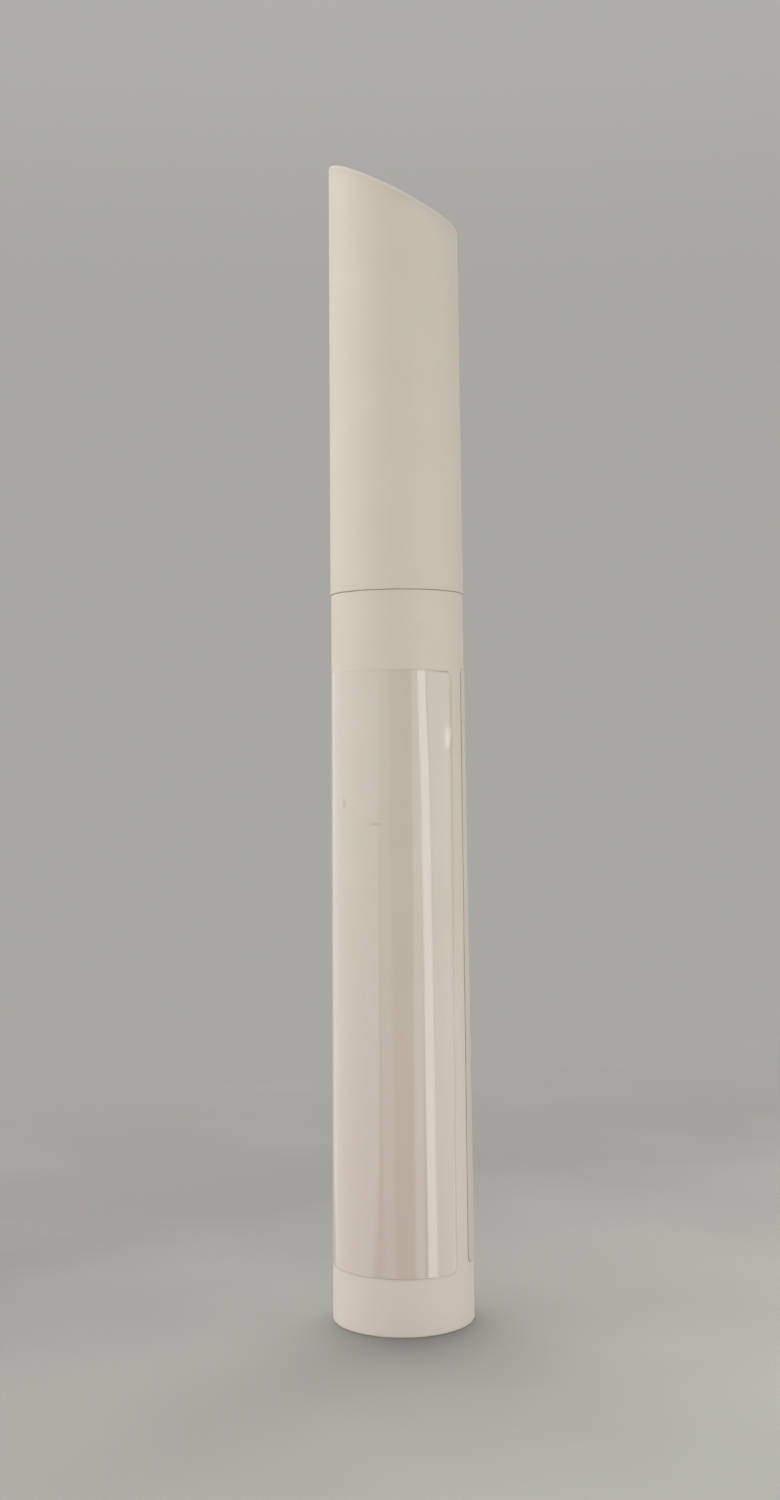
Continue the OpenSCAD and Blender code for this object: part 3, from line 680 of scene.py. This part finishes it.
def ribShells(c):
    # Each rib is a bar whose inner side is part of the cylinder that grips the felt, at the radius
    # sqrt(grip^2 - across^2), and whose outer side sinks into the bore. All are one outline, turned in
    # equal steps.
    across = np.linspace(-0.5, 0.5, c["ribPoints"]) * c["ribWide"]
    inner = np.stack([np.sqrt(c["gripR"] ** 2 - across ** 2), across], 1)
    outer = np.stack([0 * across + c["ventR"] + c["ribSink"], across[::-1]], 1)
    ring = np.concatenate([inner, outer])
    count = len(ring)
    k, strip = np.arange(count), np.arange(len(across) - 1)
    quads = np.stack([k, (k + 1) % count, (k + 1) % count + count, k + count], 1)
    ends = np.stack([strip, strip + 1, count - 2 - strip, count - 1 - strip], 1)
    faces = np.concatenate([quads, ends[:, ::-1], ends + count])
    shells = []
    for turn in np.arange(c["ribs"]) * 2 * math.pi / c["ribs"]:
        x = ring[:, 0] * math.cos(turn) - ring[:, 1] * math.sin(turn)
        y = ring[:, 0] * math.sin(turn) + ring[:, 1] * math.cos(turn)
        level = np.array([c["ribLowZ"], c["ribHighZ"]])[:, None] + 0 * x
        points = np.stack([np.stack([x, x]), np.stack([y, y]), level], 2).reshape(-1, 3)
        shells.append((points, faces, np.zeros((0, 3), int)))
    return shells


dress(putMesh("frontSection", [frontSectionShell(section)] + ribShells(section)), "barrel", "section_plastic",
      plastics["sectionPlastic"], "front_section")

nib = {"r": 2.5008, "endR": 1.8006, "lowZ": 81.646, "taperZ": 99.506, "tipZ": 104.706, "bevel": 50.0,
       "bevelX": -1.456, "footRound": 0.27, "round": 0.45, "soft": 14.0, "fuzz": 0.012,
       "fuzzTurns": (5, 2), "fuzzPerMm": (1.0, 3.1), "footLevels": 6, "levels": 60, "segments": 120}


def nibShell(c):
    # Each level is a circle cut by the bevel's line, measured from a point between them: the outline's
    # distance is the soft minimum of the distances to circle and line, (a^-s + b^-s)^(-1/s). The foot's
    # edge is a quarter circle, and the far end closes on another. Two slow waves make it uneven.
    footTurn = np.radians(np.linspace(15, 90, c["footLevels"]))
    long, whole = c["taperZ"] - c["lowZ"], c["tipZ"] - c["lowZ"]
    t = np.concatenate([[0], c["footRound"] * (1 - np.cos(footTurn)), np.linspace(1, long, c["levels"]),
                        np.linspace(long + 0.1, whole, c["levels"])])
    z = c["lowZ"] + t
    r = c["r"] - (c["r"] - c["endR"]) * np.clip((z - c["taperZ"]) / (c["tipZ"] - c["taperZ"]), 0, 1)
    lowEdge = np.clip(1 - t / c["footRound"], 0, 1)
    r = r - c["footRound"] * (1 - np.sqrt(1 - lowEdge ** 2))
    cutX = c["bevelX"] + (c["tipZ"] - z) / math.tan(math.radians(c["bevel"]))
    centre = (np.minimum(r, cutX) - r) / 2
    high = np.clip((z - (c["tipZ"] - c["round"])) / c["round"], 0, 1)
    shrink = np.sqrt(np.maximum(1 - high ** 2, 0))
    a = np.arange(c["segments"]) * 2 * math.pi / c["segments"]
    cosA, sinA = np.cos(a)[None], np.sin(a)[None]
    off = centre[:, None]
    leastCos, farOut = 1e-3, 1e3  # a direction that runs along the bevel's line or away from it misses it
    toCircle = -off * cosA + np.sqrt(np.maximum(r[:, None] ** 2 - (off * sinA) ** 2, 0))
    toCut = np.where(cosA > leastCos, (cutX[:, None] - off) / np.maximum(cosA, leastCos), farOut)
    reach = (toCircle ** -c["soft"] + toCut ** -c["soft"]) ** (-1 / c["soft"]) * shrink[:, None]
    first, second = (np.sin(turns * a[None] + perMm * z[:, None])
                     for turns, perMm in zip(c["fuzzTurns"], c["fuzzPerMm"]))
    reach = reach * (1 + c["fuzz"] * first * second)
    x, y = off + reach * cosA, reach * sinA
    rings = np.stack([x[:-1], y[:-1], z[:-1, None] + 0 * x[:-1]], 2)
    count, n = len(rings), len(a)
    row, col, nextCol = np.arange(count - 1)[:, None] * n, np.arange(n), (np.arange(n) + 1) % n
    quads = np.stack([row + col, row + nextCol, row + n + nextCol, row + n + col], 2).reshape(-1, 4)
    edge = (count - 1) * n
    fans = np.concatenate([np.stack([np.full(n, count * n), nextCol, col], 1),
                           np.stack([np.full(n, count * n + 1), edge + col, edge + nextCol], 1)])
    poles = [[0, 0, z[0]], [centre[-1], 0, z[-1]]]
    return np.concatenate([rings.reshape(-1, 3), poles]), quads, fans


dress(putMesh("feltNib", [nibShell(nib)]), "applicator", "felt", felt, "nib")
print("front section and felt tip made")


spring = {"r": 2.1004, "wire": 0.45, "lowZ": 61.721, "highZ": 75.801, "curls": 9, "perCurl": 48,
          "keep": 0.897, "seatZ": 61.496}


def springTube(c):
    # The centre line is a helix: (r cos a, r sin a, rising evenly). The wire's own directions are the
    # radius and the upright.
    a = np.linspace(0, 2 * math.pi * c["curls"], c["perCurl"] * c["curls"] + 1)
    out = np.stack([np.cos(a), np.sin(a), 0 * a], 1)
    rise = c["lowZ"] + (c["highZ"] - c["lowZ"]) * a / a[-1]
    centre = c["r"] * out + np.stack([0 * a, 0 * a, rise], 1)
    return tube(centre, out, np.array([[0, 0, 1.0]]) + 0 * out, c["wire"] / 2)


def giveWireMap(piece, points):
    # the map that the scores follow: the distance from the axis, and the turn round it
    corner = np.zeros(len(piece.data.loops), np.int32)
    piece.data.loops.foreach_get("vertex_index", corner)
    x, y = points[corner, 0], points[corner, 1]
    wireMap = piece.data.uv_layers.new(name="wire")
    wireMap.data.foreach_set("uv", np.stack([np.hypot(x, y), np.arctan2(y, x) / (2 * math.pi)], 1).ravel())


coil = springTube(spring)
springPiece = putMesh("valveSpring", [coil])
giveWireMap(springPiece, coil[0])
dress(springPiece, "barrel", "spring_steel", steel, "valve_spring")
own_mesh(springPiece)

valvePieces = (("valve_seat", "valveSeat", "barrel", "seat_rubber", "seatRubber"),
               ("valve_stem", "valveStem", "applicator", "valve_plastic", "valvePlastic"),
               ("valve_housing", "valveHousing", "barrel", "valve_plastic", "valvePlastic"),
               ("spring_cap", "springCap", "barrel", "valve_plastic", "valvePlastic"))
for node, name, body, slot, finish in valvePieces:
    dress(smoothCopy(node, name), body, slot, plastics[finish], node)
print("valve made")


stage = {"backColour": (168, 167, 162), "topColour": (177, 176, 172), "topFrom": 0.25, "topTo": 0.45,
         "farColour": (99, 97, 93), "nearColour": (123, 123, 117), "farAt": -47.0, "nearAt": 43.0,
         "slope": 40.0, "roughness": 0.9, "cloudPerMm": 0.03, "cloud": 0.12, "firstR": 2.0,
         "lastR": 6000.0, "rings": 60, "segments": 96, "fadeStart": 0.05, "fadeEnd": 0.25,
         "worldColour": (0.98, 0.99, 1.0, 1.0), "worldLight": 0.75}


def floorDisc(look):
    # A flat disc: rings at even steps of the logarithm of the radius. Its paper's colour gets paler towards
    # the camera and its right, painted light that stands in for how the lamps' light falls over the floor,
    # with faint clouds. Far out it turns into the backdrop's own colour for the camera, so that the two
    # meet without a line.
    r = np.concatenate([[0], np.geomspace(look["firstR"], look["lastR"], look["rings"])])
    disc = putMesh("floor", [turned(np.stack([r, 0 * r], 1), segments=look["segments"])])
    if disc.data.polygons[0].normal.z < 0:
        disc.data.flip_normals()
    f = Finish("floorPaper", look["roughness"], srgb(*look["nearColour"]))
    slope = math.radians(viewTurn + look["slope"])
    along = f.node("ShaderNodeVectorMath", operation="DOT_PRODUCT")
    f.fill(along.inputs, (f.object, (math.cos(slope), math.sin(slope), 0)))
    cloud = f.range(f.noise(f.millimetres(), look["cloudPerMm"]), *noiseSpread, -look["cloud"], look["cloud"])
    # painted light: the paper's colour gets paler along the slope, standing in for how the lamps' light falls
    # over the floor
    paintedLightShare = f.range(along.outputs["Value"], look["farAt"] * mm, look["nearAt"] * mm, 0, 1)
    paperAndPaintedLight = f.mix(f.math("ADD", paintedLightShare, cloud), srgb(*look["farColour"]), srgb(*look["nearColour"]))
    f.set(f.shader, **{"Base Color": paperAndPaintedLight})
    distance = f.node("ShaderNodeVectorMath", operation="LENGTH")
    f.tree.links.new(f.object, distance.inputs[0])
    far = f.range(distance.outputs["Value"], look["fadeStart"], look["fadeEnd"], 0, 1, smooth=True)
    path = f.node("ShaderNodeLightPath")
    backdrop = f.node("ShaderNodeEmission")
    backdrop.inputs["Color"].default_value = srgb(*look["backColour"])
    blend = f.node("ShaderNodeMixShader")
    f.tree.links.new(f.math("MULTIPLY", far, path.outputs["Is Camera Ray"]), blend.inputs[0])
    f.tree.links.new(f.shader.outputs[0], blend.inputs[1])
    f.tree.links.new(backdrop.outputs[0], blend.inputs[2])
    f.tree.links.new(blend.outputs[0], f.tree.nodes["Material Output"].inputs["Surface"])
    disc.data.materials.append(f.material)
    disc.visible_glossy = False
    return disc


def studioWorld(look):
    # Soft grey light from everywhere, and the backdrop's colour for what is seen, reflected or looked
    # through. The backdrop gets paler upwards.
    world = bpy.data.worlds.new("studio")
    bpy.context.scene.world = world
    world.use_nodes = True
    nodes, links = world.node_tree.nodes, world.node_tree.links
    light = nodes["Background"]
    light.inputs["Color"].default_value = look["worldColour"]
    light.inputs["Strength"].default_value = look["worldLight"]
    along = nodes.new("ShaderNodeSeparateXYZ")
    links.new(nodes.new("ShaderNodeTexCoord").outputs["Generated"], along.inputs[0])
    share = nodes.new("ShaderNodeMapRange")
    share.interpolation_type = "SMOOTHSTEP"
    share.inputs["From Min"].default_value = look["topFrom"]
    share.inputs["From Max"].default_value = look["topTo"]
    links.new(along.outputs["Z"], share.inputs["Value"])
    tint = nodes.new("ShaderNodeMix")
    tint.data_type = "RGBA"
    tint.inputs[6].default_value = srgb(*look["backColour"])
    tint.inputs[7].default_value = srgb(*look["topColour"])
    links.new(share.outputs["Result"], tint.inputs[0])
    seen = nodes.new("ShaderNodeBackground")
    links.new(tint.outputs[2], seen.inputs["Color"])
    path = nodes.new("ShaderNodeLightPath")
    either = nodes.new("ShaderNodeMath")
    either.operation = "MAXIMUM"
    links.new(path.outputs["Is Camera Ray"], either.inputs[0])
    links.new(path.outputs["Is Glossy Ray"], either.inputs[1])
    through = nodes.new("ShaderNodeMath")
    through.operation = "MAXIMUM"
    links.new(either.outputs[0], through.inputs[0])
    links.new(path.outputs["Is Transmission Ray"], through.inputs[1])
    mix = nodes.new("ShaderNodeMixShader")
    links.new(through.outputs[0], mix.inputs[0])
    links.new(light.outputs[0], mix.inputs[1])
    links.new(seen.outputs[0], mix.inputs[2])
    links.new(mix.outputs[0], nodes["World Output"].inputs["Surface"])


# turn is measured from the camera's side, to the right as the camera sees it; lift is the angle above
# the floor's level; far, wide and tall are metres; roll slants the lamp in its own plane; bright is the
# lamp face's own brightness; lights names the only pieces that a lamp lights. Those with gloss show in
# the gloss alone, and the others in the rest alone.
lamps = {
    "leftGloss": {"turn": -94, "lift": 4, "far": 0.8, "wide": 2.56, "tall": 0.8, "bright": 0.68,
                  "gloss": True},
    "innerGloss": {"turn": -26.5, "lift": 4, "far": 0.8, "wide": 0.27, "tall": 0.8, "bright": 0.3,
                   "roll": 15, "gloss": True},
    "windowGloss": {"turn": 30.5, "lift": 4, "far": 0.8, "wide": 0.22, "tall": 0.8, "bright": 0.68,
                    "roll": -7, "gloss": True},
    "stripGloss": {"turn": 45.5, "lift": 2, "far": 0.6, "wide": 0.165, "tall": 0.5, "bright": 2.1,
                   "roll": 8, "gloss": True},
    "rightGloss": {"turn": 78, "lift": 4, "far": 0.8, "wide": 0.65, "tall": 0.8, "bright": 0.9,
                   "gloss": True},
    "backGloss": {"turn": 150, "lift": 4, "far": 0.8, "wide": 0.6, "tall": 0.8, "bright": 0.1,
                  "gloss": True},
    "leftHighSoft": {"turn": -95, "lift": 55, "far": 0.35, "wide": 0.4, "tall": 0.3, "bright": 1.3},
    "leftSoft": {"turn": -95, "lift": 20, "far": 0.8, "wide": 0.9, "tall": 0.8, "bright": 1.31},
    "frontSoft": {"turn": -10, "lift": 30, "far": 0.9, "wide": 1.2, "tall": 0.8, "bright": 1.18},
    "rightSoft": {"turn": 95, "lift": 20, "far": 0.8, "wide": 0.9, "tall": 0.8, "bright": 0.95},
    "lowRightSoft": {"turn": 55, "lift": -14, "far": 0.09, "wide": 0.06, "tall": 0.03, "bright": 2.1,
                     "lights": "pen"},
    "floorBack": {"turn": 180, "lift": 46, "far": 0.9, "wide": 1.2, "tall": 0.8, "bright": 4.2,
                  "lights": "floor"},
    "backSoft": {"turn": 180, "lift": 50, "far": 0.9, "wide": 1.2, "tall": 0.8, "bright": 1.8},
}


def studioLamps(plan, groups, target=Vector((0, 0, 0.04))):
    # Each lamp stands far from the target in its direction and faces it. Its power is pi times its
    # brightness times its area. A lamp that lights one group alone is linked to that group: the one
    # behind lights the floor and deepens the shadow in front of the foot, and the low one lights the pen.
    receivers = {name: bpy.data.collections.new(name + "Receivers") for name in groups}
    for name, members in groups.items():
        for member in members:
            receivers[name].objects.link(member)
    for name, c in plan.items():
        turn, lift = math.radians(viewTurn + c["turn"]), math.radians(c["lift"])
        away = Vector((math.cos(turn) * math.cos(lift), math.sin(turn) * math.cos(lift), math.sin(lift)))
        light = bpy.data.lights.new(name, "AREA")
        light.shape = "RECTANGLE"
        light.size, light.size_y = c["wide"], c["tall"]
        light.energy = math.pi * c["bright"] * c["wide"] * c["tall"]
        lamp = bpy.data.objects.new(name, light)
        bpy.context.scene.collection.objects.link(lamp)
        facing = away.to_track_quat("Z", "Y").to_matrix().to_4x4()
        lamp.matrix_world = (Matrix.Translation(target + away * c["far"]) @ facing
                             @ Matrix.Rotation(math.radians(c.get("roll", 0)), 4, "Z"))
        lamp.visible_camera = False
        lamp.visible_glossy = c.get("gloss", False)
        lamp.visible_diffuse = not c.get("gloss", False)
        if "lights" in c:
            lamp.light_linking.receiver_collection = receivers[c["lights"]]


view = {"far": 188.0, "high": 54.82, "side": 14.44, "pitch": 6.905, "yaw": 0.203, "roll": -0.552,
        "lens": 42.83, "shiftY": -0.1316, "nearest": 0.01}


def studioCamera(c):
    # The camera stands far from the pen's axis and high above the floor, turned by side from the -Y
    # direction: (far sin(side), -far cos(side), high). Its own turns are, in order: roll, pitch from
    # level, and the heading.
    side = math.radians(c["side"])
    place = Vector((c["far"] * math.sin(side), -c["far"] * math.cos(side), c["high"])) * mm
    data = bpy.data.cameras.new("camera")
    data.lens, data.shift_y = c["lens"], c["shiftY"]
    data.clip_start = c["nearest"]
    camera = bpy.data.objects.new("camera", data)
    bpy.context.scene.collection.objects.link(camera)
    camera.matrix_world = (Matrix.Translation(place) @ Matrix.Rotation(side + math.radians(c["yaw"]), 4, "Z")
                           @ Matrix.Rotation(math.radians(90 + c["pitch"]), 4, "X")
                           @ Matrix.Rotation(math.radians(c["roll"]), 4, "Z"))
    bpy.context.scene.camera = camera


ground = floorDisc(stage)
studioWorld(stage)
studioLamps(lamps, {"floor": [ground], "pen": penPieces})
studioCamera(view)
bpy.context.scene.view_settings.view_transform = "Standard"
print("floor, light and camera made")
